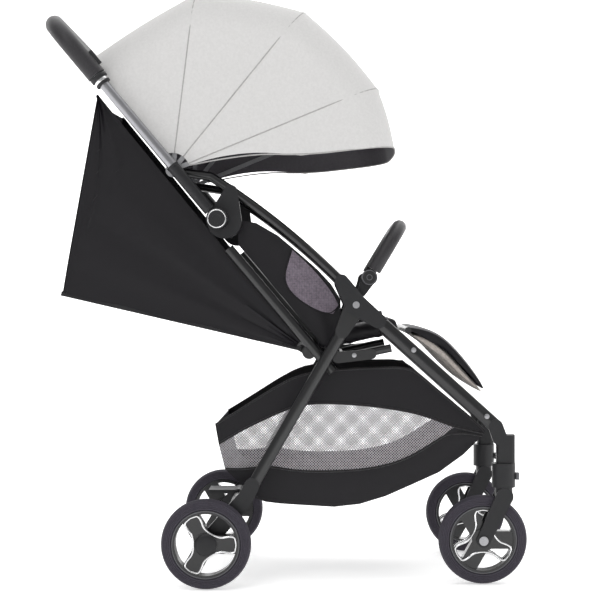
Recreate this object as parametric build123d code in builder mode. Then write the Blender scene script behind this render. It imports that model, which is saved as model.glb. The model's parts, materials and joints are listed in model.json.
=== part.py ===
"""Compact four-wheel travel stroller: frame, folding handle, canopy, reclining seat, basket and wheels.

Millimetres. +X points forwards, +Y to the rider's left, +Z up. The origin is on the floor,
under the middle of the stroller. Places in the side view are (X, Z) pairs.
"""
from build123d import *
import os
from math import cos, sin, radians, hypot, atan2, degrees

# ---- wheels and casters
wheel_radius = 78.0
wheel_width = 30.0
tyre_depth = 19.0
rim_lip = 6.0
rim_hub_radius = 20.0
spoke_width = 31.0
spoke_thickness = 22.0
axle_radius = 5.0
running_gap = 0.05
slip_gap = 0.4
rear_axle_x = -136.0
front_axle_x = 346.0
caster_trail = 37.0
fork_thickness = 4.0
fork_gap = 1.5
stem_radius = 6.0
stem_length = 34.0
crown_bottom = 2 * wheel_radius - 5.0
crown_height = 18.5
crown_top = crown_bottom + crown_height
cup_height = 42.0
cup_radius = 20.5
housing_block = (32.0, 28.0)
housing_corner = 7.0
knee_height = 257.0
knee_radius = 13.0
fork_foot_radius = 12.0
fork_head_radius = 15.0
lock_size = (6.0, 14.0)
lock_height = 12.0
lock_lift = 13.0
housing_top = 262.0

# ---- side planes, measured outwards from the middle
rail_y = 178.0
tube_half = 8.0
bearing_gap = 0.5
rail_outer_y = rail_y + tube_half
rail_inner_y = rail_y - tube_half
fabric_inside_y = rail_inner_y - 2.5
sheet_thickness = 2.4
casting_proud = 3.0
rear_leg_half = 7.0
rear_leg_y = rail_outer_y + casting_proud + bearing_gap + rear_leg_half + 1.0
handle_y = rail_outer_y + 26.5
seat_half_width = rail_inner_y - 7.0
basket_half_width = rail_inner_y - 5.0
rear_wheel_y = rail_outer_y + 35.5
front_wheel_y = rail_inner_y

screw_radius = 4.5
screw_proud = 1.5

# ---- pivots in the side view
fold_pivot = (123.0, 490.0)
fold_boss_radius = 19.0
pivot_pin_radius = 7.0
handle_pivot = (-118.0, 639.0)
canopy_pivot = (-197.0, 725.0)
recline_pivot = (41.0, 407.0)
bumper_pivot = (146.5, 538.0)
calf_pivot = (215.0, 445.0)
brake_pivot = (-100.0, 120.0)

# ---- tubes
rail_foot = (92.0, 537.0)
rail_mid = (-10.0, 628.0)
rail_head = (-132.0, 715.0)
leg_top = (170.0, 455.0)
leg_bottom = (368.0, 277.0)
leg_half_height = 12.5
lower_tube_top = (-100.0, 589.0)
lower_tube_end = (83.0, 373.0)
rear_leg_top = (99.0, 444.0)
rear_leg_foot = (-69.0, 154.5)
rear_leg_half_height = 10.5
cross_tube_radius = 8.0
front_cross = (330.0, 311.0)
seat_tube_rear = (97.0, 396.0)
seat_tube_front = (185.0, 414.5)

# ---- handle
handle_angle = 130.0
handle_reach = 451.0
handle_tube_radius = 9.0
handle_corner = 60.0
sleeve_end = 118.0
sleeve_wall = 1.6
grip_radius = 16.5
grip_start = 324.0
hub_disc_radius = 18.5
hub_pin_radius = 8.0
button_reach = 350.0
button_size = (28.0, 12.0)
button_pocket = 5.0
button_proud = 5.0

# ---- canopy
bow_angles = (127.0, 83.0, 51.0, 22.5)
bow_lengths = (248.0, 318.0, 363.0, 386.0)
bow_strip = 8.0
bow_thickness = 1.5
bow_step = 1.7
bow_first_y = rail_outer_y + 0.4
bow_corner = 58.0
canopy_half_width = rail_outer_y + 8.6
canopy_cloth = 1.2
canopy_pin_radius = 3.0
tab_radius = 12.0
visor_tip = (188.0, 775.0)

# ---- seat, backrest, calf rest, bumper
seat_rear = (48.0, 398.0)
seat_front = (209.0, 436.0)
seat_depth = 22.0
back_angle = 167.0
back_start = 16.0
back_reach = 450.0
board_thickness = 8.0
hinge_bar_radius = 6.0
knuckle_half = 12.0
pad_thickness = 18.0
calf_angle = -37.0
calf_start = 14.0
calf_reach = 172.0
calf_half_width = 150.0
bumper_angle = 59.0
bumper_reach = 106.0
bumper_y = rail_outer_y + 4.0
bumper_tube_radius = 5.5
bumper_pin_radius = 4.0
bumper_pad_radius = 12.5
bumper_corner = 60.0
basket_wall = 3.0
harness_y = 62.0
strap_half = 12.5
buckle_size = (46.0, 40.0)
buckle_depth = 15.0
buckle_button_radius = 10.0

right_and_left = (("right", -1), ("left", 1))


def side_plane(y):
    """Drawing plane of the side view at a distance from the middle, with X across and Z up."""
    return Plane(origin=(0, y, 0), x_dir=(1, 0, 0), z_dir=(0, -1, 0))


def polar(origin, angle, reach, lift=0.0):
    """Side-view point at a reach along an angle, lifted to the left of that line."""
    along = radians(angle)
    x = origin[0] + reach * cos(along) - lift * sin(along)
    return (x, origin[1] + reach * sin(along) + lift * cos(along))


def line_angle(start, end):
    """Angle of a side-view line in degrees."""
    return degrees(atan2(end[1] - start[1], end[0] - start[0]))


def save(built, name):
    """Label a finished piece and write it."""
    built.part.label = name
    export_step(built.part, f"parts/{name}.step")


def plate(side, inner, outer, draw):
    """Plate between two distances from the middle, on one side; draw() fills the sketch."""
    middle = side * (inner + outer) / 2
    with BuildPart() as made:
        with BuildSketch(side_plane(middle)):
            draw()
        extrude(amount=(outer - inner) / 2, both=True)
    return made.part


def slanted_bar(side, start, end, half_width, half_height, y=rail_y):
    """Oval bar between two side-view points."""
    along = Vector(end[0] - start[0], 0, end[1] - start[1])
    with BuildPart() as made:
        with BuildSketch(Plane(origin=(start[0], side * y, start[1]), x_dir=(0, 1, 0), z_dir=along)):
            Ellipse(half_width, half_height)
        extrude(amount=along.length)
    return made.part


def cross_bar(place, half_length, radius, bore=0.0):
    """Round bar across the stroller."""
    with BuildPart() as made:
        with BuildSketch(side_plane(0)):
            with Locations(place):
                Circle(radius)
                if bore:
                    Circle(bore, mode=Mode.SUBTRACT)
        extrude(amount=half_length, both=True)
    return made.part


def stub(side, place, inner, outer, radius, bore=0.0):
    """Round boss, pin or disc on one side."""
    def draw():
        with Locations(place):
            Circle(radius)
            if bore:
                Circle(bore, mode=Mode.SUBTRACT)
    return plate(side, inner, outer, draw)


def round_hull(places):
    """Outline round several circles, each given as (x, z, radius)."""
    with BuildSketch(Plane.XY, mode=Mode.PRIVATE) as outline:
        for x, z, radius in places:
            with Locations((x, z)):
                Circle(radius)
        make_hull()
    add(outline.sketch)


# ---- wheels, forks and casters
def wheel(place_x, y, name):
    """Tyre and three-spoke rim, turning on a round axle."""
    tyre_inner = wheel_radius - tyre_depth
    with BuildPart() as tyre:
        with BuildSketch(side_plane(y)):
            with Locations((place_x, wheel_radius)):
                Circle(wheel_radius)
                Circle(tyre_inner, mode=Mode.SUBTRACT)
        extrude(amount=wheel_width / 2, both=True)
        rims = tyre.edges().filter_by(GeomType.CIRCLE).sort_by(lambda e: e.radius)[-2:]
        fillet(rims, wheel_width / 3)
    save(tyre, f"{name}_tyre")
    with BuildPart() as rim:
        with BuildSketch(side_plane(y)):
            with Locations((place_x, wheel_radius)):
                Circle(tyre_inner)
                Circle(tyre_inner - rim_lip, mode=Mode.SUBTRACT)
        extrude(amount=wheel_width / 2 - 1, both=True)
        with BuildSketch(side_plane(y)):
            with Locations((place_x, wheel_radius)):
                Circle(rim_hub_radius)
        extrude(amount=wheel_width / 2, both=True)
        with BuildSketch(side_plane(y)):
            with Locations((place_x, wheel_radius)):
                with PolarLocations(0, 3):
                    with Locations((tyre_inner / 2, 0)):
                        Rectangle(tyre_inner - rim_lip, spoke_width)
        extrude(amount=spoke_thickness / 2, both=True)
        with BuildSketch(side_plane(y)):
            with Locations((place_x, wheel_radius)):
                Circle(axle_radius + running_gap)
        extrude(amount=wheel_width, both=True, mode=Mode.SUBTRACT)
    save(rim, f"{name}_rim")


for label, side in right_and_left:
    wheel(rear_axle_x, side * rear_wheel_y, f"rear_{label}")
    wheel(front_axle_x, side * front_wheel_y, f"front_{label}")

swivel_x = front_axle_x + caster_trail
fork_inner = wheel_width / 2 + fork_gap
fork_outer = fork_inner + fork_thickness
for label, side in right_and_left:
    y = side * front_wheel_y
    with BuildPart() as fork:
        for face in (-1, 1):
            with BuildSketch(side_plane(y + face * (fork_inner + fork_thickness / 2))):
                round_hull(((front_axle_x, wheel_radius, fork_foot_radius),
                            (swivel_x, crown_bottom + 4, fork_head_radius)))
                with Locations((front_axle_x, wheel_radius)):
                    Circle(axle_radius, mode=Mode.SUBTRACT)
            extrude(amount=fork_thickness / 2, both=True)
        with BuildSketch(Plane.XY.offset(crown_bottom)):
            with Locations((swivel_x, y)):
                SlotOverall(2 * fork_outer, 2 * fork_head_radius, rotation=90)
        extrude(amount=crown_top - crown_bottom)
        with BuildSketch(Plane.XY.offset(crown_top)):
            with Locations((swivel_x, y)):
                Circle(stem_radius)
        extrude(amount=stem_length)
        with BuildSketch(side_plane(y)):
            with Locations((front_axle_x, wheel_radius)):
                Circle(wheel_radius + fork_gap)
        extrude(amount=fork_inner, both=True, mode=Mode.SUBTRACT)
        split(bisect_by=Plane.XY.offset(crown_top + stem_length), keep=Keep.BOTTOM)
    save(fork, f"front_fork_{label}")
    with BuildPart() as axle:
        with BuildSketch(side_plane(y)):
            with Locations((front_axle_x, wheel_radius)):
                Circle(axle_radius)
        extrude(amount=fork_outer + 1, both=True)
        for face in (-1, 1):
            with BuildSketch(side_plane(y + face * (fork_outer + 2))):
                with Locations((front_axle_x, wheel_radius)):
                    Circle(axle_radius + 3)
            extrude(amount=1.9, both=True)
    save(axle, f"front_axle_{label}")

    housing_low = crown_top + bearing_gap
    with BuildPart() as housing:
        with BuildSketch(Plane.XY.offset(housing_low)):
            with Locations((swivel_x, y)):
                Circle(cup_radius)
        extrude(amount=cup_height)
        with BuildSketch(Plane.XY.offset(housing_low + cup_height)):
            with Locations((swivel_x + 3, y)):
                RectangleRounded(*housing_block, housing_corner)
        extrude(amount=housing_top - housing_low - cup_height)
        with BuildSketch(side_plane(side * rail_y)):
            round_hull(((swivel_x - 8, knee_height, knee_radius), (*leg_bottom, leg_half_height)))
        extrude(amount=tube_half - 1, both=True)
        with BuildSketch(Plane.XY.offset(housing_low)):
            with Locations((swivel_x, y)):
                Circle(stem_radius + running_gap)
        extrude(amount=stem_length + 2, mode=Mode.SUBTRACT)
    save(housing, f"swivel_housing_{label}")
    with BuildPart() as lock:
        with BuildSketch(Plane.XY.offset(housing_low + lock_lift)):
            with Locations((swivel_x + cup_radius + 0.5 + lock_size[0] / 2, y)):
                RectangleRounded(*lock_size, 2)
        extrude(amount=lock_height)
    save(lock, f"swivel_lock_{label}")

# ---- front legs, rails and lower tubes
for label, side in right_and_left:
    with BuildPart() as front_leg:
        add(slanted_bar(side, leg_top, leg_bottom, tube_half, leg_half_height))
        with BuildSketch(side_plane(side * rail_y)):
            round_hull(((swivel_x - 8, knee_height, knee_radius + slip_gap / 2),
                        (*leg_bottom, leg_half_height + slip_gap / 2)))
        extrude(amount=tube_half, both=True, mode=Mode.SUBTRACT)
    save(front_leg, f"front_leg_{label}")
    with BuildPart() as rail:
        with BuildLine(side_plane(side * rail_y)) as bend:
            ThreePointArc(rail_foot, rail_mid, rail_head)
        with BuildSketch(bend.line ^ 0):
            Circle(tube_half)
        sweep()
        add(slanted_bar(side, rail_head, canopy_pivot, tube_half, tube_half))
        with Locations((rail_head[0], side * rail_y, rail_head[1])):
            Sphere(tube_half)
    save(rail, f"upper_rail_{label}")

with BuildPart() as lower_tubes:
    for label, side in right_and_left:
        add(slanted_bar(side, lower_tube_top, lower_tube_end, tube_half, tube_half + 1))
save(lower_tubes, "lower_tubes")

with BuildPart() as front_tube:
    add(cross_bar(front_cross, rail_inner_y + 0.5, cross_tube_radius))
save(front_tube, "front_cross_tube")


def y_joint():
    """Outline of the two-armed casting where rail and front leg meet."""
    round_hull(((rail_foot[0] + 6, rail_foot[1] - 6, 12), (*fold_pivot, fold_boss_radius)))
    round_hull(((leg_top[0] - 8, leg_top[1] + 7, 13), (*fold_pivot, fold_boss_radius)))


cover_inner = rear_leg_y + rear_leg_half + bearing_gap + 3
cover_outer = cover_inner + 4.5
with BuildPart() as joint_castings:
    for label, side in right_and_left:
        add(plate(side, rail_inner_y, rail_outer_y + casting_proud, y_joint))
save(joint_castings, "joint_castings")
with BuildPart() as joint_covers:
    for label, side in right_and_left:
        add(plate(side, cover_inner, cover_outer, y_joint))
        add(stub(side, fold_pivot, rail_outer_y + casting_proud, cover_inner, pivot_pin_radius))
save(joint_covers, "joint_covers")


def hub_plate():
    """Outline of the fixed half of the folding hub, from the hub up to the rail."""
    round_hull(((handle_pivot[0] + 11, handle_pivot[1] - 3, 30), (-96.0, 688.0, 12)))
    with Locations((handle_pivot)):
        Circle(18)


with BuildPart() as hub_plates:
    for label, side in right_and_left:
        add(plate(side, rail_y - 4, rail_outer_y, hub_plate))
        add(stub(side, handle_pivot, rail_outer_y, handle_y + 9, hub_pin_radius))
save(hub_plates, "hub_plates")

# ---- rear legs
knuckle_inner = rail_outer_y + casting_proud + bearing_gap
for label, side in right_and_left:
    with BuildPart() as rear_leg:
        add(slanted_bar(side, rear_leg_top, rear_leg_foot, rear_leg_half, rear_leg_half_height, rear_leg_y))

        def knuckle():
            """Outline of the rear leg's knuckle."""
            round_hull(((*fold_pivot, fold_boss_radius), (rear_leg_top[0], rear_leg_top[1], 12)))
            with Locations(fold_pivot):
                Circle(pivot_pin_radius + running_gap, mode=Mode.SUBTRACT)
        add(plate(side, knuckle_inner, cover_inner - bearing_gap, knuckle))
    save(rear_leg, f"rear_leg_{label}")


def rear_foot():
    """Outline of the bracket that carries the rear axle."""
    round_hull(((rear_axle_x, wheel_radius, 15), (rear_leg_foot[0], rear_leg_foot[1], 14)))
    round_hull(((rear_leg_foot[0], rear_leg_foot[1], 14), (-58.0, 176.0, 13)))
    with Locations((rear_axle_x, wheel_radius)):
        Circle(axle_radius, mode=Mode.SUBTRACT)


with BuildPart() as rear_feet:
    for label, side in right_and_left:
        add(plate(side, rear_leg_y - rear_leg_half - 3, rear_leg_y + rear_leg_half, rear_foot))
save(rear_feet, "rear_feet")
with BuildPart() as rear_axle:
    add(cross_bar((rear_axle_x, wheel_radius), rear_wheel_y + wheel_width / 2 + 2, axle_radius))
save(rear_axle, "rear_axle")
with BuildPart() as rear_cross:
    add(cross_bar(brake_pivot, rear_leg_y - rear_leg_half - 3, cross_tube_radius))
save(rear_cross, "rear_cross_tube")
with BuildPart() as pedal:
    with BuildSketch(side_plane(120)):
        with Locations(brake_pivot):
            Circle(cross_tube_radius + 5)
        with Locations((brake_pivot[0] - 32, brake_pivot[1] + 8)):
            Rectangle(50, 7)
        with Locations(brake_pivot):
            Circle(cross_tube_radius + running_gap, mode=Mode.SUBTRACT)
    extrude(amount=32, both=True)
save(pedal, "brake_pedal")

# ---- handle
grip_plane_angle = radians(handle_angle)
handle_plane = Plane(origin=(handle_pivot[0], 0, handle_pivot[1]), x_dir=(0, 1, 0),
                     z_dir=(sin(grip_plane_angle), 0, -cos(grip_plane_angle)))


def handle_path(start):
    """U-shaped centre line of the handle from a reach on one side to the same on the other."""
    tops = ((-handle_y, handle_reach), (handle_y, handle_reach))
    FilletPolyline((-handle_y, start), *tops, (handle_y, start), radius=handle_corner)


def handle_part(start, radius, bore=0.0):
    """Round section swept round the top of the handle."""
    with BuildPart() as made:
        with BuildLine(handle_plane) as centre:
            handle_path(start)
        with BuildSketch(centre.line ^ 0):
            Circle(radius)
            if bore:
                Circle(bore, mode=Mode.SUBTRACT)
        sweep()
    return made.part


def handle_bar(side, start, end, radius, bore=0.0):
    """Straight round piece along one side of the handle."""
    with BuildPart() as made:
        foot = handle_plane.from_local_coords(Vector(side * handle_y, start, 0))
        with BuildSketch(Plane(origin=foot, z_dir=handle_plane.y_dir)):
            Circle(radius)
            if bore:
                Circle(bore, mode=Mode.SUBTRACT)
        extrude(amount=end - start)
    return made.part


with BuildPart() as handle_tube:
    add(handle_part(hub_disc_radius + 1, handle_tube_radius))
save(handle_tube, "handle_tube")
with BuildPart() as sleeves:
    for label, side in right_and_left:
        sleeve_radius = handle_tube_radius + sleeve_wall
        add(handle_bar(side, hub_disc_radius + 1, sleeve_end, sleeve_radius, handle_tube_radius))
save(sleeves, "handle_sleeves")
with BuildPart() as hub_discs:
    for label, side in right_and_left:
        inner = rail_outer_y + bearing_gap
        add(stub(side, handle_pivot, inner, handle_y + 9, hub_disc_radius, hub_pin_radius + running_gap))
save(hub_discs, "hub_discs")
button_at = handle_plane.from_local_coords(Vector(-handle_y, button_reach, 0))
button_out = handle_plane.z_dir
button_plane = Plane(origin=button_at + button_out * (grip_radius - button_pocket),
                     x_dir=handle_plane.y_dir, z_dir=button_out)
with BuildPart() as grip:
    add(handle_part(grip_start, grip_radius, handle_tube_radius))
    with BuildSketch(button_plane):
        RectangleRounded(button_size[0] + 2 * slip_gap, button_size[1] + 2 * slip_gap, 3)
    extrude(amount=3 * button_pocket, mode=Mode.SUBTRACT)
save(grip, "handle_grip")
with BuildPart() as button:
    with BuildSketch(button_plane.offset(button_pocket - 1)):
        RectangleRounded(button_size[0], button_size[1], 3)
    extrude(amount=1 + button_proud)
save(button, "fold_button")

# ---- canopy
bow_names = ("canopy_rear_bow", "canopy_bow_1", "canopy_bow_2", "canopy_bow_3")
tips = [polar(canopy_pivot, angle, length) for angle, length in zip(bow_angles, bow_lengths)]
for index, name in enumerate(bow_names):
    inner = bow_first_y + index * bow_step
    centre = inner + bow_thickness / 2
    tilt = radians(bow_angles[index])
    bow_plane = Plane(origin=(canopy_pivot[0], 0, canopy_pivot[1]), x_dir=(0, 1, 0),
                      z_dir=(sin(tilt), 0, -cos(tilt)))
    with BuildPart() as bow:
        with BuildLine(bow_plane):
            length = bow_lengths[index]
            FilletPolyline((-centre, 0), (-centre, length), (centre, length), (centre, 0),
                           radius=bow_corner)
        foot = bow_plane.from_local_coords(Vector(-centre, 0, 0))
        with BuildSketch(Plane(origin=foot, x_dir=(0, 1, 0), z_dir=bow_plane.y_dir)):
            Rectangle(bow_thickness, bow_strip)
        sweep()
        for label, side in right_and_left:
            add(stub(side, canopy_pivot, inner, inner + bow_thickness, tab_radius))
            if index == 0:
                last = bow_first_y + 4 * bow_step
                add(stub(side, canopy_pivot, inner + bow_thickness, last, canopy_pin_radius))
        if index:
            with BuildSketch(side_plane(0)):
                with Locations(canopy_pivot):
                    Circle(canopy_pin_radius + running_gap)
            extrude(amount=handle_y, both=True, mode=Mode.SUBTRACT)
    save(bow, name)

cloth_inner = canopy_half_width - canopy_cloth
cloth_lift = bow_strip / 2 + 0.6


visor_root = polar(canopy_pivot, bow_angles[3] - 1.4, bow_lengths[3] + cloth_lift)


def canopy_panel(first, last, name):
    """Cloth between two neighbouring bows: a roof and two side walls, open underneath."""
    def corners(lift):
        near_angle = bow_angles[first] - 1.4
        far_angle = bow_angles[last] + 1.4
        near = polar(canopy_pivot, near_angle, bow_lengths[first] + lift)
        far = polar(canopy_pivot, far_angle, bow_lengths[last] + lift)
        base_near = polar(canopy_pivot, near_angle, 2.5 * tab_radius)
        base_far = polar(canopy_pivot, far_angle, 2.5 * tab_radius)
        return (base_near, near, far, base_far)
    with BuildPart() as panel:
        with BuildSketch(side_plane(0)):
            Polygon(*corners(cloth_lift + canopy_cloth), align=None)
        extrude(amount=canopy_half_width, both=True)
        with BuildSketch(side_plane(0)):
            Polygon(*corners(cloth_lift), align=None)
            base_near, near, far, base_far = corners(cloth_lift)
            Polygon(canopy_pivot, base_near, base_far, align=None)
        extrude(amount=cloth_inner, both=True, mode=Mode.SUBTRACT)
        if last == 3:
            with BuildSketch(side_plane(0)):
                foot = (visor_tip[0] - 2 * canopy_cloth, visor_tip[1])
                back = (visor_root[0] - 2 * canopy_cloth, visor_root[1])
                Polygon(visor_root, visor_tip, foot, back, align=None)
            extrude(amount=cloth_inner, both=True)
    save(panel, name)


canopy_panel(0, 1, "canopy_panel_rear")
canopy_panel(1, 2, "canopy_panel_middle")
canopy_panel(2, 3, "canopy_panel_front")

# ---- seat frame, seat pad, wings, harness and bumper
with BuildPart() as seat_frame:
    for label, side in right_and_left:
        add(slanted_bar(side, seat_tube_rear, seat_tube_front, tube_half - 1, tube_half - 1))
        add(stub(side, recline_pivot, rail_inner_y, rail_y + 3, 12))

        def bracket():
            round_hull(((92.0, 398.0, 10), (150.0, 404.0, 9)))
        add(plate(side, rail_outer_y - 3, rail_outer_y + 3, bracket))
    add(cross_bar(recline_pivot, rail_inner_y + 1, hinge_bar_radius))
    add(cross_bar(calf_pivot, rail_inner_y + 1, hinge_bar_radius))
    add(cross_bar(seat_tube_rear, rail_inner_y + 2, hinge_bar_radius))
save(seat_frame, "seat_frame")
seat_up = line_angle(seat_rear, seat_front)
with BuildPart() as seat_pad:
    with BuildSketch(side_plane(0)):
        with BuildLine():
            seat_length = hypot(seat_front[0] - seat_rear[0], seat_front[1] - seat_rear[1])
            low_rear = polar(seat_rear, seat_up, 10, 12)
            low_front = polar(seat_rear, seat_up, seat_length - 4, 12)
            high_front = polar(seat_rear, seat_up, seat_length - 4, 12 + seat_depth)
            high_rear = polar(seat_rear, seat_up, 10, 12 + seat_depth)
            Polyline(low_rear, low_front, high_front, high_rear, close=True)
        make_face()
    extrude(amount=seat_half_width, both=True)
save(seat_pad, "seat_pad")


def sheet(name, outline):
    """Thin cloth side panels, one each side, just inside the frame tubes."""
    with BuildPart() as panels:
        for label, side in right_and_left:
            add(plate(side, fabric_inside_y - sheet_thickness / 2, fabric_inside_y + sheet_thickness / 2,
                      lambda: Polygon(*outline, align=None)))
    save(panels, name)


back_end = polar(recline_pivot, back_angle, back_reach + 6)
hood_top = polar(canopy_pivot, bow_angles[0], bow_lengths[0] - 30)
gusset_tip = (hood_top[0] - 8, hood_top[1])
sheet("seat_wings", ((-84, 622), (-20, 608), (60, 548), (92, 500), (88, 470), (72, 408), (62, 418),
                     (-70, 576)))
sheet("seat_gussets", ((26, 428), polar(recline_pivot, back_angle, back_reach, 30), gusset_tip,
                       (canopy_pivot[0] - 6, canopy_pivot[1] - 8), (-96, 596)))
with BuildPart() as hood_panel:
    with BuildSketch(side_plane(0)):
        with BuildLine():
            foot = polar(recline_pivot, back_angle, back_reach + 6, 30)
            Polyline(gusset_tip, (foot[0] - 4, foot[1]), (foot[0] - 4 - sheet_thickness, foot[1]),
                     (gusset_tip[0] - sheet_thickness - 1, gusset_tip[1]), close=True)
        make_face()
    extrude(amount=fabric_inside_y - sheet_thickness, both=True)
save(hood_panel, "hood_panel")

buckle_at = polar(seat_rear, seat_up, 118, 12 + seat_depth + 0.5)
with BuildPart() as harness:
    for side in (-1, 1):
        with BuildSketch(side_plane(side * harness_y)):
            with BuildLine():
                rise = polar(seat_rear, seat_up, 30, 12 + seat_depth + 0.4)
                ahead = polar(seat_rear, seat_up, 100, 12 + seat_depth + 0.4)
                Polyline(rise, ahead, (ahead[0], ahead[1] + 2.5), (rise[0], rise[1] + 2.5), close=True)
            make_face()
        extrude(amount=strap_half, both=True)
save(harness, "harness_straps")
buckle_plane = Plane(origin=(buckle_at[0], 0, buckle_at[1]),
                     x_dir=(cos(radians(seat_up)), 0, sin(radians(seat_up))),
                     z_dir=(-sin(radians(seat_up)), 0, cos(radians(seat_up))))
with BuildPart() as buckle:
    with BuildSketch(buckle_plane):
        RectangleRounded(*buckle_size, 9)
    extrude(amount=buckle_depth)
    with BuildSketch(buckle_plane.offset(8)):
        Circle(buckle_button_radius + slip_gap)
    extrude(amount=10, mode=Mode.SUBTRACT)
save(buckle, "buckle")
with BuildPart() as buckle_button:
    with BuildSketch(buckle_plane.offset(12)):
        Circle(buckle_button_radius)
    extrude(amount=5)
save(buckle_button, "buckle_button")

with BuildPart() as sockets:
    for label, side in right_and_left:
        def socket():
            round_hull(((*bumper_pivot, 13), (133.0, 512.0, 8)))
        add(plate(side, rail_y - 6, rail_outer_y - 2.2, socket))
        add(stub(side, bumper_pivot, rail_outer_y - 2.2, bumper_y + 7, bumper_pin_radius))
save(sockets, "bumper_sockets")
bumper_dir = radians(bumper_angle)
bumper_plane = Plane(origin=(bumper_pivot[0], 0, bumper_pivot[1]), x_dir=(0, 1, 0),
                     z_dir=(sin(bumper_dir), 0, -cos(bumper_dir)))


def bumper_part(start, radius, bore=0.0):
    """Round section swept round the bumper bar."""
    with BuildPart() as made:
        with BuildLine(bumper_plane) as centre:
            FilletPolyline((-bumper_y, start), (-bumper_y, bumper_reach), (bumper_y, bumper_reach),
                           (bumper_y, start), radius=bumper_corner)
        with BuildSketch(centre.line ^ 0):
            Circle(radius)
            if bore:
                Circle(bore, mode=Mode.SUBTRACT)
        sweep()
    return made.part


with BuildPart() as bumper_bar:
    add(bumper_part(8, bumper_tube_radius))
    for label, side in right_and_left:
        add(stub(side, bumper_pivot, rail_outer_y + 0.5, bumper_y + 6, 14))
        with BuildSketch(side_plane(side * bumper_y)):
            with Locations(bumper_pivot):
                Circle(bumper_pin_radius + running_gap)
        extrude(amount=12, both=True, mode=Mode.SUBTRACT)
save(bumper_bar, "bumper_bar")
with BuildPart() as bumper_pad:
    with BuildLine(bumper_plane) as pad_line:
        Line((bumper_corner - bumper_y, bumper_reach), (bumper_y - bumper_corner, bumper_reach))
    with BuildSketch(pad_line.line ^ 0):
        Circle(bumper_pad_radius)
        Circle(bumper_tube_radius, mode=Mode.SUBTRACT)
    sweep()
save(bumper_pad, "bumper_pad")


def slab(origin, angle, start, end, low, high, half_width):
    """Flat board between two reaches and two lifts from a pivot."""
    with BuildPart() as made:
        with BuildSketch(side_plane(0)):
            Polygon(polar(origin, angle, start, low), polar(origin, angle, end, low),
                    polar(origin, angle, end, high), polar(origin, angle, start, high), align=None)
        extrude(amount=half_width, both=True)
    return made.part


def hinged_board(origin, angle, start, end, low, half_width, knuckle_at):
    """Board with two hinge knuckles round a cross bar."""
    with BuildPart() as made:
        add(slab(origin, angle, start, end, low, low + board_thickness, half_width))
        for side in (-1, 1):
            def ear():
                at = polar(origin, angle, start + 8, low + board_thickness / 2)
                round_hull(((*origin, 10), (*at, 4)))
                with Locations(origin):
                    Circle(hinge_bar_radius + running_gap, mode=Mode.SUBTRACT)
            add(plate(side, knuckle_at - knuckle_half, knuckle_at + knuckle_half, ear))
    return made.part


with BuildPart() as backrest_board:
    add(hinged_board(recline_pivot, back_angle, back_start, back_reach, -6, seat_half_width - 2, 110))
save(backrest_board, "backrest_board")
with BuildPart() as backrest_pad:
    add(slab(recline_pivot, back_angle, back_start + 22, back_reach - 4, -6 - pad_thickness - 0.2, -6.2,
             seat_half_width - 2))
save(backrest_pad, "backrest_pad")
with BuildPart() as calf_board:
    add(hinged_board(calf_pivot, calf_angle, calf_start, calf_reach - 4, -4, calf_half_width - 4, 100))
save(calf_board, "calf_board")
with BuildPart() as calf_pad:
    add(slab(calf_pivot, calf_angle, calf_start + 12, calf_reach, -4 + board_thickness + 0.2, 14,
             calf_half_width))
save(calf_pad, "calf_pad")

# ---- basket
basket_top = ((-126, 281), (36, 374), (223, 386))
basket_low = ((350, 262), (288, 202), (215, 158), (78, 134), (-42, 145))
with BuildPart() as basket:
    with BuildSketch(side_plane(0)):
        Polygon(*basket_top, *basket_low, align=None)
    extrude(amount=basket_half_width, both=True)
    with BuildSketch(side_plane(0)):
        Polygon(*basket_top, *basket_low, align=None)
        offset(amount=-basket_wall, mode=Mode.REPLACE)
    extrude(amount=basket_half_width - basket_wall, both=True, mode=Mode.SUBTRACT)
    with BuildSketch(side_plane(0)):
        Polygon((-126, 300), (-120, 272), (36, 360), (208, 371), (208, 420), (36, 420), align=None)
    extrude(amount=basket_half_width - 12, both=True, mode=Mode.SUBTRACT)
save(basket, "basket")

# ---- screws
with BuildPart() as screws:
    for label, side in right_and_left:
        for place in ((224.0, 411.0), (352.0, 295.0)):
            add(stub(side, place, rail_outer_y - 1, rail_outer_y + screw_proud, screw_radius))
        add(stub(side, fold_pivot, cover_outer, cover_outer + screw_proud, screw_radius + 1.5))
save(screws, "frame_screws")
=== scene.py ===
"""Finish of the compact travel stroller: cloth, mesh, trim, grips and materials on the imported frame."""
import json
from math import sin, cos, radians, atan2, degrees, pi, hypot

import bmesh
import bpy
from mathutils import Matrix, Vector


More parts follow.
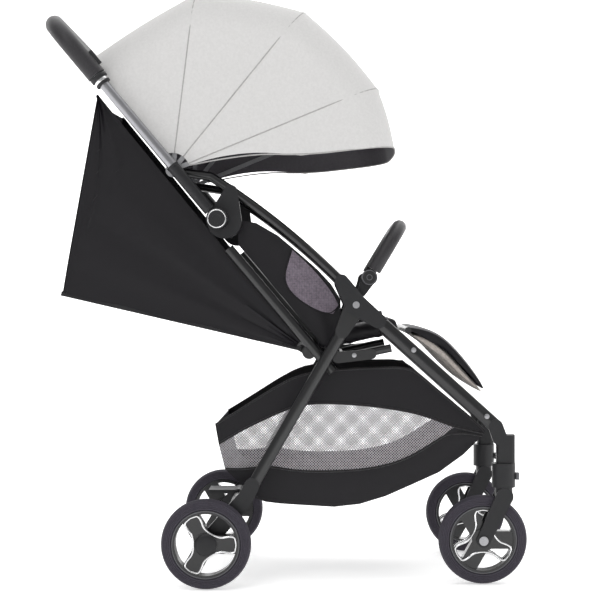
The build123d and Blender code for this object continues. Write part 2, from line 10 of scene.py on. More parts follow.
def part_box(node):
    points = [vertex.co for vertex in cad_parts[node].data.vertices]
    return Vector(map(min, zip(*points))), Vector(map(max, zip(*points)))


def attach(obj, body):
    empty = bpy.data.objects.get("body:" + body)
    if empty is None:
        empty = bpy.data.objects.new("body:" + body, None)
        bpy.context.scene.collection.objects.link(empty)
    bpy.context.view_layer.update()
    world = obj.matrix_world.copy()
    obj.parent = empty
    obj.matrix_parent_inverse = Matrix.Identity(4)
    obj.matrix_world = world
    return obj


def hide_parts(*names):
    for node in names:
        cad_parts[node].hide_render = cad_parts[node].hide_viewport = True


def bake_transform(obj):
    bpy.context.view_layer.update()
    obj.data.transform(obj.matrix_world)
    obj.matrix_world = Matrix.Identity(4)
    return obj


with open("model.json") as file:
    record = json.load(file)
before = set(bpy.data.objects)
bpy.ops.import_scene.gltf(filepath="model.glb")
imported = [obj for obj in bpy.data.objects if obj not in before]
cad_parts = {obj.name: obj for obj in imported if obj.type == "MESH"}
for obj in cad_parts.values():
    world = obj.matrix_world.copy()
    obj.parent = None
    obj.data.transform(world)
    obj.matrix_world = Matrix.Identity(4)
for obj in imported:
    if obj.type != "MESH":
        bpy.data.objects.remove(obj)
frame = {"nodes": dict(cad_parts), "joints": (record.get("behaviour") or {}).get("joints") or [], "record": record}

bl_info = {
    "name": "Travel Stroller Finish",
    "version": (1, 0, 0),
    "blender": (4, 5, 0),
    "location": "View3D > Sidebar > Stroller",
    "description": "Dresses the packed travel stroller frame in cloth, foam, rubber and metal",
    "category": "Object",
}

MM = 0.001
SEAT_CLOTH_THICKNESS = 1.2 * MM
STRAP_THICKNESS = 1.6 * MM
BASKET_CLOTH_THICKNESS = 1.6 * MM
SIDES = (("right", -1), ("left", 1))


def pivot_of(joint):
    """Side-view place of a hinge, in metres."""
    found = next(j for j in frame["joints"] if j["name"] == joint)
    return found["pos_m"][0], found["pos_m"][2]


HUB = pivot_of("handle_fold")
CANOPY = pivot_of("canopy_fold")
RECLINE = pivot_of("backrest_recline")
HANDLE_ANGLE = radians(130)


# ---- sizes and colours a user may change
class StrollerSizes(bpy.types.PropertyGroup):
    """Sizes of the sewn and trimmed pieces."""

    cloth: bpy.props.FloatProperty(
        name="Canopy cloth", description="Thickness of the canopy cloth", default=1.0 * MM, unit="LENGTH")
    corner: bpy.props.FloatProperty(
        name="Canopy corner", description="Radius of the canopy's shoulders", default=62 * MM,
        unit="LENGTH")
    piping: bpy.props.FloatProperty(
        name="Piping", description="Radius of piping along the seams", default=1.3 * MM, unit="LENGTH")
    trim: bpy.props.FloatProperty(
        name="Wheel trim", description="Radius of the bright line on the wheels", default=2.1 * MM,
        unit="LENGTH")
    strap: bpy.props.FloatProperty(
        name="Strap width", description="Width of the harness webbing", default=25 * MM, unit="LENGTH")


class StrollerColours(bpy.types.PropertyGroup):
    """Colours of the main finishes, as sRGB hex values."""

    canopy: bpy.props.StringProperty(name="Canopy", description="Canopy cloth", default="CDCCCB")
    lining: bpy.props.StringProperty(name="Lining", description="Canopy lining", default="5A585C")
    seat: bpy.props.StringProperty(name="Seat cloth", description="Dark seat cloth", default="0B090E")
    mesh: bpy.props.StringProperty(name="Mesh", description="Basket mesh", default="A7A4A8")
    metal: bpy.props.StringProperty(name="Handle", description="Anodised handle tube", default="A4A4A8")
    tyre: bpy.props.StringProperty(name="Tyre", description="Tyre rubber", default="45424A")


def sizes():
    return bpy.context.scene.stroller_sizes


def colours():
    return bpy.context.scene.stroller_colours


# ---- materials
def linear(hex_value):
    """Linear colour from an sRGB hex value."""
    parts = [int(hex_value[i:i + 2], 16) / 255 for i in (0, 2, 4)]
    return (*[c / 12.92 if c <= 0.04045 else ((c + 0.055) / 1.055) ** 2.4 for c in parts], 1.0)


def add_node(tree, kind, links=(), **settings):
    """Add a node, set its sockets and properties, and link (output socket, input name) pairs."""
    node = tree.nodes.new(kind)
    for key, value in settings.items():
        name = key.replace("_", " ")
        if name in node.inputs:
            node.inputs[name].default_value = value
        else:
            setattr(node, key, value)
    for source, target in links:
        tree.links.new(source, node.inputs[target])
    return node


def new_material(name, **shader):
    """Material with a Principled shader, its object coordinates and its tree."""
    made = bpy.data.materials.get(name)
    if made:
        return made, None, None, None
    made = bpy.data.materials.new(name)
    made.use_nodes = True
    tree = made.node_tree
    body = tree.nodes["Principled BSDF"]
    for key, value in shader.items():
        body.inputs[key.replace("_", " ")].default_value = value
    where = add_node(tree, "ShaderNodeTexCoord")
    return made, tree, body, where.outputs["Object"]


def two_tone(tree, body, factor, dark, light):
    """Mix two hex colours into the base colour."""
    ramp = add_node(tree, "ShaderNodeValToRGB", links=((factor, 0),))
    ramp.color_ramp.elements[0].color = linear(dark)
    ramp.color_ramp.elements[1].color = linear(light)
    tree.links.new(ramp.outputs["Color"], body.inputs["Base Color"])
    return ramp


def add_bump(tree, body, height, depth_mm, strength=0.6):
    """Surface relief of a given depth."""
    relief = add_node(tree, "ShaderNodeBump", links=((height, "Height"),),
                      Strength=strength, Distance=depth_mm * MM)
    tree.links.new(relief.outputs["Normal"], body.inputs["Normal"])


def shade(hex_value, factor):
    """The same hue lighter or darker, as hex."""
    parts = [min(255, int(int(hex_value[i:i + 2], 16) * factor)) for i in (0, 2, 4)]
    return "".join(f"{c:02X}" for c in parts)


def woven_polyester(name, colour, thread_mm, sheen=0.3, rough=0.85, mottle=0.10, relief=0.25):
    """Plain-weave polyester: a fine crossing thread, faint colour variation and a soft sheen."""
    made, tree, body, where = new_material(name, Roughness=rough, Sheen_Weight=sheen, Sheen_Roughness=0.45,
                                           Specular_IOR_Level=0.3)
    if tree is None:
        return made
    turns = 2 * pi / (thread_mm * MM) / 20
    weave = []
    for direction in ("X", "Z"):
        weave.append(add_node(tree, "ShaderNodeTexWave", links=((where, "Vector"),),
                              bands_direction=direction, Scale=turns, Distortion=0.6, Detail=1.0))
    both = add_node(tree, "ShaderNodeMath", operation="MULTIPLY",
                    links=((weave[0].outputs["Fac"], 0), (weave[1].outputs["Fac"], 1)))
    cloud = add_node(tree, "ShaderNodeTexNoise", links=((where, "Vector"),), Scale=260.0, Detail=6.0)
    blend = add_node(tree, "ShaderNodeMath", operation="MULTIPLY_ADD",
                     links=((both.outputs[0], 0), (cloud.outputs["Fac"], 2)))
    blend.inputs[1].default_value = 0.35
    two_tone(tree, body, blend.outputs[0], shade(colour, 1 - mottle), shade(colour, 1 + mottle))
    add_bump(tree, body, both.outputs[0], relief)
    return made


def canopy_cloth():
    """Light grey plain-weave polyester with a dry, matt hand."""
    return woven_polyester("light_grey_polyester", colours().canopy, 1.6, sheen=0.15, rough=0.9,
                           mottle=0.04)


def lining_cloth():
    """Dark grey lining on the inside of the canopy."""
    return woven_polyester("dark_grey_lining", colours().lining, 1.6, sheen=0.1, rough=0.8)


def seat_cloth():
    """Near-black satin-weave polyester with a faint violet sheen."""
    made = woven_polyester("black_satin_polyester", colours().seat, 1.4, sheen=0.06, rough=0.5, mottle=0.22)
    made.node_tree.nodes["Principled BSDF"].inputs["Sheen Tint"].default_value = linear("8F7F9C")
    return made


def calf_cloth():
    """Warm light grey melange on the underside of the calf rest."""
    return woven_polyester("warm_grey_melange", "A9A29C", 1.2, sheen=0.25, rough=0.9, mottle=0.22)


def webbing():
    """Black ribbed polyester webbing: coarse ribs across the strap."""
    return woven_polyester("black_webbing", "1B1A1C", 2.4, sheen=0.3, rough=0.7, mottle=0.3, relief=0.6)


def open_mesh(name, colour, pitch_mm, cover):
    """Net of two crossing diagonal threads, which shows what is behind; drawn coarser than the real net."""
    made, tree, body, where = new_material(name, Roughness=0.75, Sheen_Weight=0.2)
    if tree is None:
        return made
    threads = []
    for turn in (45, -45):
        lay = add_node(tree, "ShaderNodeMapping", links=((where, "Vector"),))
        lay.inputs["Rotation"].default_value = (0, radians(turn), 0)
        wave = add_node(tree, "ShaderNodeTexWave", links=((lay.outputs[0], "Vector"),), bands_direction="X",
                        Scale=2 * pi / (pitch_mm * MM) / 20)
        threads.append(add_node(tree, "ShaderNodeMath", operation="GREATER_THAN",
                                links=((wave.outputs["Fac"], 0),)))
        threads[-1].inputs[1].default_value = cover
    net = add_node(tree, "ShaderNodeMath", operation="MAXIMUM",
                   links=((threads[0].outputs[0], 0), (threads[1].outputs[0], 1)))
    tree.links.new(net.outputs[0], body.inputs["Alpha"])
    uneven = add_node(tree, "ShaderNodeTexNoise", links=((where, "Vector"),), Scale=120.0)
    two_tone(tree, body, uneven.outputs["Fac"], shade(colour, 0.85), shade(colour, 1.15))
    return made


def grained(name, scale, detail, dark, light, relief=None, strength=0.5, **shader):
    """Material whose colour, and relief where it has one, follow one fine noise."""
    made, tree, body, where = new_material(name, **shader)
    if tree is None:
        return made
    grain = add_node(tree, "ShaderNodeTexNoise", links=((where, "Vector"),), Scale=scale, Detail=detail)
    two_tone(tree, body, grain.outputs["Fac"], dark, light)
    if relief:
        add_bump(tree, body, grain.outputs["Fac"], relief, strength)
    return made


def powder_coat():
    """Black semi-gloss powder coat on aluminium: a slight orange peel and clean highlights."""
    return grained("black_powder_coat", 900.0, 3.0, "060607", "101013", 0.06, 0.3, Metallic=0.0,
                   Roughness=0.3, Coat_Weight=0.3, Coat_Roughness=0.12)


def anodised_aluminium():
    """Gunmetal anodised tube: satin metal with faint drawing lines."""
    made, tree, body, where = new_material("gunmetal_anodised_aluminium", Metallic=1.0, Roughness=0.3)
    if tree is None:
        return made
    stretch = add_node(tree, "ShaderNodeMapping", links=((where, "Vector"),))
    stretch.inputs["Rotation"].default_value = (0, HANDLE_ANGLE, 0)
    stretch.inputs["Scale"].default_value = (30, 2500, 2500)
    lines = add_node(tree, "ShaderNodeTexNoise", links=((stretch.outputs[0], "Vector"),), Scale=1.0,
                     Detail=2.0)
    two_tone(tree, body, lines.outputs["Fac"], shade(colours().metal, 0.82), shade(colours().metal, 1.1))
    return made


def moulded_nylon():
    """Black glass-filled nylon: fine spark-eroded grain and a dull shine."""
    return grained("black_moulded_nylon", 1800.0, 4.0, "0B0B0D", "19191D", 0.08, Roughness=0.45,
                   Specular_IOR_Level=0.45)


def grey_nylon():
    """Mid grey moulded nylon on buttons and rings."""
    return grained("grey_moulded_nylon", 1800.0, 3.0, "4B4B4F", "66666A", Roughness=0.5)


def chrome():
    """Bright plated trim with a trace of haze."""
    return grained("bright_plated_trim", 700.0, 4.0, "D8D8DA", "F4F4F4", Metallic=1.0, Roughness=0.16)


def zinc_steel():
    """Zinc-plated steel pins and bows."""
    return grained("zinc_plated_steel", 400.0, 4.0, "8E8E90", "B5B5B8", Metallic=1.0, Roughness=0.35)


def tyre_rubber():
    """Charcoal foam rubber: matt, with a dusty, slightly uneven surface."""
    tyre = colours().tyre
    return grained("charcoal_foam_rubber", 500.0, 8.0, shade(tyre, 0.72), shade(tyre, 1.15), 0.15,
                   Roughness=0.8, Specular_IOR_Level=0.25)


def grip_foam():
    """Leatherette over foam on the grip and bumper: small pebbles and a soft sheen."""
    made, tree, body, where = new_material("black_leatherette", Roughness=0.5, Sheen_Weight=0.15)
    if tree is None:
        return made
    pebble = add_node(tree, "ShaderNodeTexVoronoi", links=((where, "Vector"),), Scale=520.0)
    two_tone(tree, body, pebble.outputs["Distance"], "121013", "242126")
    add_bump(tree, body, pebble.outputs["Distance"], 0.25, 0.5)
    return made


# ---- mesh helpers
def finish_piece(name, bm, materials, smooth=True, thickness=0.0, inner=0, bevel=0.0, subdivision=0):
    """Turn a bmesh into a finished object at the origin, with its modifiers and materials."""
    bmesh.ops.remove_doubles(bm, verts=bm.verts[:], dist=0.02 * MM)
    bmesh.ops.recalc_face_normals(bm, faces=bm.faces[:])
    mesh = bpy.data.meshes.new(name)
    bm.to_mesh(mesh)
    bm.free()
    for material in materials:
        mesh.materials.append(material)
    if smooth:
        mesh.polygons.foreach_set("use_smooth", [True] * len(mesh.polygons))
    piece = bpy.data.objects.new(name, mesh)
    bpy.context.collection.objects.link(piece)
    if subdivision:
        soft = piece.modifiers.new("soften", "SUBSURF")
        soft.levels = soft.render_levels = subdivision
    if thickness:
        wall = piece.modifiers.new("thickness", "SOLIDIFY")
        wall.thickness = thickness
        wall.offset = 0
        wall.material_offset = inner
        graph = bpy.context.evaluated_depsgraph_get()
        piece.data = bpy.data.meshes.new_from_object(piece.evaluated_get(graph))
        piece.data.name = name
        piece.modifiers.clear()
        piece.data.set_sharp_from_angle(angle=radians(40))
    if bevel:
        edge = piece.modifiers.new("edge", "BEVEL")
        edge.width = bevel
        edge.segments = 2
        edge.limit_method = "ANGLE"
    return piece


def chain(bm, points):
    """Row of vertices joined by edges."""
    verts = [bm.verts.new(p) for p in points]
    return [bm.edges.new(pair) for pair in zip(verts, verts[1:])]


def loft(rows):
    """Bmesh with neighbouring rows of points bridged into one surface."""
    bm = bmesh.new()
    lines = [chain(bm, row) for row in rows]
    for near, far in zip(lines, lines[1:]):
        bmesh.ops.bridge_loops(bm, edges=near + far)
    return bm


def tube_along(name, points, radius, material, cyclic=False, order=3):
    """Round cord of piping or trim along given points, as a mesh."""
    curve = bpy.data.curves.new(name, "CURVE")
    curve.dimensions = "3D"
    curve.bevel_depth = radius
    curve.bevel_resolution = 3
    curve.resolution_u = 6
    curve.use_fill_caps = True
    spline = curve.splines.new("NURBS")
    spline.points.add(len(points) - 1)
    for spot, place in zip(spline.points, points):
        spot.co = (*place, 1)
    spline.order_u = order
    spline.use_cyclic_u = cyclic
    spline.use_endpoint_u = not cyclic
    holder = bpy.data.objects.new(f"{name}_line", curve)
    mesh = bpy.data.meshes.new_from_object(holder)
    mesh.name = name
    mesh.polygons.foreach_set("use_smooth", [True] * len(mesh.polygons))
    mesh.materials.clear()
    mesh.materials.append(material)
    piece = bpy.data.objects.new(name, mesh)
    bpy.context.collection.objects.link(piece)
    bpy.data.objects.remove(holder)
    return piece


def side_circle(x, y, z, radius, count):
    """Points round a circle that faces sideways."""
    turns = [2 * pi * k / count for k in range(count)]
    return [(x + radius * cos(a), y, z + radius * sin(a)) for a in turns]


def polar(origin, angle, reach):
    """Side-view point at a reach along an angle in degrees."""
    return origin[0] + reach * cos(radians(angle)), origin[1] + reach * sin(radians(angle))


def mix(a, b, t):
    """Point part of the way from one point to another."""
    return tuple(p + (q - p) * t for p, q in zip(a, b))


# ---- canopy
BOWS = ((127.0, 248.0), (83.0, 318.0), (51.0, 363.0), (22.5, 386.0), (6.5, 388.0))
BOW_BODIES = ("frame", "canopy_1", "canopy_2", "canopy_3", "canopy_3")
CANOPY_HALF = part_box("canopy_panel_rear")[1].y - 0.8 * MM
CANOPY_RINGS = (30.0, 70.0, 130.0, 205.0)


def arch_row(angle, reach, ring_low, ring_high, hem_rise=0.0):
    """Cross-section of the canopy in the plane through the pivot at one angle: leg, shoulder, roof."""
    corner = sizes().corner
    top = reach * MM
    half = CANOPY_HALF
    if ring_high:
        steps = [ring_low + (ring_high - ring_low) * i / 4 for i in range(5)]
        side = [(half, step * MM) for step in steps]
        profile = side
    else:
        legs = [(half, ring_low * MM + (top - corner - ring_low * MM) * i / 6) for i in range(7)]
        turns = [pi / 2 * i / 8 for i in range(1, 9)]
        shoulder = [(half - corner + corner * cos(a), top - corner + corner * sin(a)) for a in turns]
        crown = 5 * MM
        roof_half = half - corner
        roof = [(roof_half * (1 - i / 8), top + crown * sin(pi / 2 * i / 8)) for i in range(1, 9)]
        profile = legs + shoulder + roof
        profile = profile + [(-y, r) for y, r in reversed(profile[:-1])]
    points = []
    for y, r in profile:
        x, z = polar(CANOPY, angle, r)
        lift = hem_rise * MM * max(0.0, 1 - ((r / MM - 115) / 105) ** 2)
        points.append((x, y, z + lift))
    return points


def panel_rows(first, ring_low, ring_high, bulge):
    """Rows of one canopy panel from a bow to the next, on the chord between them plus a bulge."""
    (angle_a, reach_a), (angle_b, reach_b) = BOWS[first], BOWS[first + 1]
    tip_a, tip_b = polar((0, 0), angle_a, reach_a), polar((0, 0), angle_b, reach_b)
    across = hypot(tip_b[0] - tip_a[0], tip_b[1] - tip_a[1])
    out = ((tip_a[1] - tip_b[1]) / across, (tip_b[0] - tip_a[0]) / across)
    rows = []
    for i in range(13):
        t = i / 12
        swell = bulge * sin(pi * t)
        place = mix(tip_a, tip_b, t)
        spot = (place[0] + out[0] * swell, place[1] + out[1] * swell)
        angle = degrees(atan2(spot[1], spot[0]))
        hem = 15.0 * t if first == 3 else 0.0
        rows.append(arch_row(angle, hypot(*spot) + 3.5, ring_low, ring_high, hem))
    return rows


def mirrored_loft(rows):
    """Loft of side rows, with its copy on the other side."""
    bm = loft(rows)
    copy = bmesh.ops.duplicate(bm, geom=bm.verts[:] + bm.edges[:] + bm.faces[:])
    moved = [g for g in copy["geom"] if isinstance(g, bmesh.types.BMVert)]
    bmesh.ops.scale(bm, vec=(1, -1, 1), verts=moved)
    return bm


class STROLLER_OT_canopy(bpy.types.Operator):
    """Canopy cloth panels in rings about the pivot, with lined inside and piped seams"""

    bl_idname = "stroller.canopy"
    bl_label = "Canopy"

    def execute(self, context):
        outside, inside = canopy_cloth(), lining_cloth()
        seam = woven_polyester("grey_seam_piping", shade(colours().canopy, 0.8), 1.2, sheen=0.1)
        names = ("canopy_rear", "canopy_middle", "canopy_front", "canopy_visor")
        nodes = ("canopy_panel_rear", "canopy_panel_middle", "canopy_panel_front", "canopy_panel_front")
        bulges = (4.0, 5.0, 6.0, 3.0)
        rings = list(zip(CANOPY_RINGS, CANOPY_RINGS[1:])) + [(CANOPY_RINGS[-1], 0)]
        for panel, (name, node, bulge) in enumerate(zip(names, nodes, bulges)):
            for ring, (low, high) in enumerate(rings):
                if panel == 0 and ring == 3:
                    low = CANOPY_RINGS[-2]
                if panel == 0 and ring == 2:
                    continue
                rows = panel_rows(panel, low, high, bulge)
                bm = mirrored_loft(rows) if high else loft(rows)
                piece = finish_piece(f"{name}_{ring + 1}", bm, (outside, inside), thickness=sizes().cloth,
                                     inner=1)
                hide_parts(node)
                body_a, body_b = BOW_BODIES[panel], BOW_BODIES[panel + 1]
                if body_a == body_b:
                    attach(piece, body_a)
                    continue
                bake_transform(piece)
        for index, (angle, reach) in enumerate(BOWS):
            arch = arch_row(angle, reach + 4.2, CANOPY_RINGS[0], 0, 15.0 if index == 4 else 0.0)
            cord = tube_along(f"canopy_piping_{index + 1}", arch[::2], sizes().piping, seam)
            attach(cord, BOW_BODIES[index])
        return {"FINISHED"}


# ---- hood: side gussets and rear panel, in rings about the recline hinge
HOOD_TOP = (-330 * MM, 866 * MM)
HOOD_FOOT = (-393 * MM, 512 * MM)
TUBE_LINE, BOARD_LINE = 129.4, 166.5
HOOD_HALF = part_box("seat_gussets")[1].y
HOOD_RINGS = tuple(24.0 + 26.0 * k for k in range(17))
HOOD_BACK_RINGS = tuple(440.0 + 24.5 * k for k in range(7))


def rear_edge_angle(reach):
    """Angle of the hood's rear edge at a reach from the recline hinge."""
    low = (HOOD_FOOT[0] - RECLINE[0], HOOD_FOOT[1] - RECLINE[1])
    high = (HOOD_TOP[0] - RECLINE[0], HOOD_TOP[1] - RECLINE[1])
    step = (high[0] - low[0], high[1] - low[1])
    a = step[0] ** 2 + step[1] ** 2
    b = 2 * (low[0] * step[0] + low[1] * step[1])
    c = low[0] ** 2 + low[1] ** 2 - reach ** 2
    t = min(1.0, max(0.0, (-b + max(0.0, b * b - 4 * a * c) ** 0.5) / (2 * a)))
    return degrees(atan2(low[1] + step[1] * t, low[0] + step[0] * t)), t


def gusset_rows(low, high):
    """Rows of the gusset between two reaches, from the tube line to the board line or rear edge."""
    rows = []
    for i in range(5):
        reach = (low + (high - low) * i / 4) * MM
        last = BOARD_LINE if high <= HOOD_BACK_RINGS[0] else max(TUBE_LINE + 0.3, rear_edge_angle(reach)[0])
        row = []
        for k in range(17):
            t = k / 16
            angle = TUBE_LINE + (last - TUBE_LINE) * t
            x, z = polar(RECLINE, angle, reach)
            wave = (1.5 * sin(17 * t + reach * 6) + 1.0 * sin(41 * t - reach * 11)) * MM * sin(pi * t)
            droop = 2.5 * MM * sin(reach * 42) if k == 16 and high <= HOOD_BACK_RINGS[0] else 0.0
            row.append((x, HOOD_HALF - 3.5 * MM + wave, z + droop))
        rows.append(row)
    return rows


def blend_ring(piece):
    """Bake a hood ring's placement into its mesh; the ring is not bent between the frame and the backrest."""
    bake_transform(piece)


class STROLLER_OT_hood(bpy.types.Operator):
    """Dark hood behind the backrest: side gussets and rear panel"""

    bl_idname = "stroller.hood"
    bl_label = "Hood"

    def execute(self, context):
        cloth = seat_cloth()
        rings = list(zip(HOOD_RINGS, HOOD_RINGS[1:])) + list(zip(HOOD_BACK_RINGS, HOOD_BACK_RINGS[1:]))
        for index, (low, high) in enumerate(rings):
            rows = gusset_rows(low, high)
            piece = finish_piece(f"hood_gusset_{index + 1}", mirrored_loft(rows), (cloth,),
                                 thickness=SEAT_CLOTH_THICKNESS)
            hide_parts("seat_gussets")
            blend_ring(piece)
        for index, (low, high) in enumerate(zip(HOOD_BACK_RINGS, HOOD_BACK_RINGS[1:])):
            rows = []
            for i in range(5):
                reach = (low + (high - low) * i / 4) * MM
                x, z = polar(RECLINE, max(TUBE_LINE + 0.3, rear_edge_angle(reach)[0]), reach)
                half = HOOD_HALF - 1.5 * MM
                rows.append([(x - 9 * MM * (1 - (k / 12) ** 2), half * k / 12, z) for k in range(-12, 13)])
            piece = finish_piece(f"hood_back_{index + 1}", loft(rows), (cloth,),
                                 thickness=SEAT_CLOTH_THICKNESS)
            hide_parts("hood_panel")
            blend_ring(piece)
        return {"FINISHED"}


# ---- seat wings
WING = ((-84, 640), (-52, 634), (-14, 612), (24, 580), (56, 552), (80, 526), (96, 500), (98, 452),
        (88, 415))
WING_LOW = ((-84, 596), (-64, 573), (-42, 547), (-20, 520), (0, 497), (22, 470), (40, 448), (52, 434),
            (62, 421))
POCKET_REAR = ((11, 586), (3, 562), (-2, 541), (2, 522), (16, 505), (38, 489), (62, 477), (83, 474),
               (92, 488))
POCKET_FRONT = ((11.5, 586.5), (22, 577), (35, 565), (47, 553), (58, 541), (68, 529), (77, 517),
                (85, 505), (92.5, 490))


def side_sheet(name, high_line, low_line, y, side, materials, fold):
    """Cloth between two side-view lines, with soft folds, on one side."""
    rows = []
    for high, low in zip(high_line, low_line):
        row = []
        for k in range(13):
            x, z = mix(high, low, k / 12)
            ripple = fold * sin(x * 0.11 + z * 0.045) * sin(pi * k / 12)
            row.append((x * MM, side * (y + ripple) * MM, z * MM))
        rows.append(row)
    piece = finish_piece(name, loft(rows), materials, thickness=SEAT_CLOTH_THICKNESS)
    return piece


class STROLLER_OT_wings(bpy.types.Operator):
    """Seat side wings between the rail and the lower tube, each with a knitted mesh pocket"""

    bl_idname = "stroller.wings"
    bl_label = "Seat wings"

    def execute(self, context):
        cloth = seat_cloth()
        knit = woven_polyester("violet_grey_knit", "5B545C", 3.0, sheen=0.25, rough=0.85, mottle=0.45,
                               relief=0.8)
        y = (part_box("seat_wings")[1].y) / MM
        for label, side in SIDES:
            wing = side_sheet(f"seat_wing_{label}", WING, WING_LOW, y - 1, side, (cloth,), 1.8)
            pocket = side_sheet(f"wing_pocket_{label}", POCKET_FRONT, POCKET_REAR, y + 2.2, side, (knit,),
                                0.5)
            edge = tube_along(f"pocket_binding_{label}", [(x * MM, side * (y + 2.4) * MM, z * MM)
                                                          for x, z in POCKET_REAR], 1.0 * MM, cloth)
            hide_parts("seat_wings")
            for piece in (wing, pocket, edge):
                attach(piece, "frame")
        return {"FINISHED"}


# ---- cushions by cloth simulation
def swollen_pad(name, node, shrink, pressure, cap_mm, material, channels=()):
    """Cushion from a CAD pad: a slightly smaller copy, swollen by cloth pressure, then quilted."""
    source = frame["nodes"][node]
    bm = bmesh.new()
    bm.from_mesh(source.data)
    bmesh.ops.remove_doubles(bm, verts=bm.verts[:], dist=0.05 * MM)
    middle = sum((v.co for v in bm.verts), Vector()) / len(bm.verts)
    bmesh.ops.scale(bm, vec=shrink, verts=bm.verts[:], space=Matrix.Translation(-middle))
    mesh = bpy.data.meshes.new(name)
    bm.to_mesh(mesh)
    bm.free()
    piece = bpy.data.objects.new(name, mesh)
    bpy.context.collection.objects.link(piece)
    grid = piece.modifiers.new("grid", "REMESH")
    grid.mode = "VOXEL"
    grid.voxel_size = 6 * MM
    graph = bpy.context.evaluated_depsgraph_get()
    piece.data = bpy.data.meshes.new_from_object(piece.evaluated_get(graph))
    piece.modifiers.clear()
    rest = [v.co.copy() for v in piece.data.vertices]
    cloth = piece.modifiers.new("cloth", "CLOTH")
    cloth.settings.use_pressure = True
    cloth.settings.uniform_pressure_force = pressure
    cloth.settings.effector_weights.gravity = 0
    cloth.settings.quality = 4
    cloth.point_cache.frame_end = 20
    for step in range(1, 21):
        bpy.context.scene.frame_set(step)
    graph = bpy.context.evaluated_depsgraph_get()
    piece.data = bpy.data.meshes.new_from_object(piece.evaluated_get(graph))
    piece.modifiers.clear()
    bpy.context.scene.frame_set(1)
    cap = cap_mm * MM
    for vert, start in zip(piece.data.vertices, rest):
        moved = vert.co - start
        if moved.length > cap:
            vert.co = start + moved.normalized() * cap
    piece.data.name = name
    for vert in piece.data.vertices:
        for axis, start, step, depth in channels:
            near = ((vert.co.dot(axis) - start) / step) % 1.0
            dip = max(0.0, 1 - min(near, 1 - near) * step / (7 * MM))
            vert.co -= Vector((-axis[2], 0, axis[0])) * depth * dip * dip
    piece.data.materials.clear()
    piece.data.materials.append(material)
    piece.data.polygons.foreach_set("use_smooth", [True] * len(piece.data.polygons))
    soft = piece.modifiers.new("soften", "SUBSURF")
    soft.levels = soft.render_levels = 1
    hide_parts(node)
    return piece


class STROLLER_OT_cushions(bpy.types.Operator):
    """Seat and backrest pads, swollen by cloth pressure"""

    bl_idname = "stroller.cushions"
    bl_label = "Cushions"

    def execute(self, context):
        cloth = seat_cloth()
        seat_axis = Vector((cos(radians(13.3)), 0, sin(radians(13.3))))
        seat = swollen_pad("seat_cushion", "seat_pad", (0.97, 0.985, 0.93), 4.0, 5, cloth,
                           ((seat_axis, 0.0, 52 * MM, 3 * MM),))
        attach(seat, "frame")
        back_axis = Vector((cos(radians(167)), 0, sin(radians(167))))
        back = swollen_pad("backrest_cushion", "backrest_pad", (0.98, 0.985, 0.98), 4.0, 5, cloth,
                           ((back_axis, 0.0, 80 * MM, -3 * MM),))
        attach(back, "backrest")
        return {"FINISHED"}


# ---- basket: four curves in the side view, from the top edge down to the floor
BASKET_TOP = ((-124, 279), (-96, 296), (-67, 314), (-17, 346), (27, 368), (98, 376), (170, 379),
              (222, 379), (262, 344), (304, 309), (327, 290), (350, 268))
BASKET_BAND = ((-118, 245), (-92, 261), (-67, 275), (-12, 301), (31, 316), (85, 317), (152, 312),
               (219, 302), (258, 290), (297, 275), (320, 270), (348, 264))
BASKET_MESH = ((-107, 201), (-84, 200), (-62, 202), (-32, 206), (17, 197), (75, 196), (135, 199),
               (186, 209), (219, 222), (253, 242), (294, 270), (346, 259))
BASKET_BASE = ((-62, 158), (-54, 148), (-36, 142), (-12, 139), (17, 137), (85, 133), (130, 138),
               (176, 152), (219, 171), (270, 194), (314, 226), (338, 250))
BASKET_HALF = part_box("basket")[1].y


def basket_station(index):
    """Cross-section of the basket at one station: down one side, across the floor and up the other."""
    levels = (BASKET_TOP, BASKET_BAND, BASKET_MESH, BASKET_BASE)
    marks = [level[index] for level in levels]
    spread = (1.0, 0.995, 0.985, 0.93)
    row = []
    for low in range(3):
        for k in range(4):
            t = k / 4
            x, z = mix(marks[low], marks[low + 1], t)
            wide = spread[low] + (spread[low + 1] - spread[low]) * t ** 2
            row.append((x * MM, -BASKET_HALF * wide, z * MM))
    x, z = marks[3]
    floor = [(x * MM, BASKET_HALF * 0.93 * y, z * MM) for y in (-1, -0.8, -0.5, 0, 0.5, 0.8, 1)]
    return row + floor + [(a, -b, c) for a, b, c in reversed(row)]


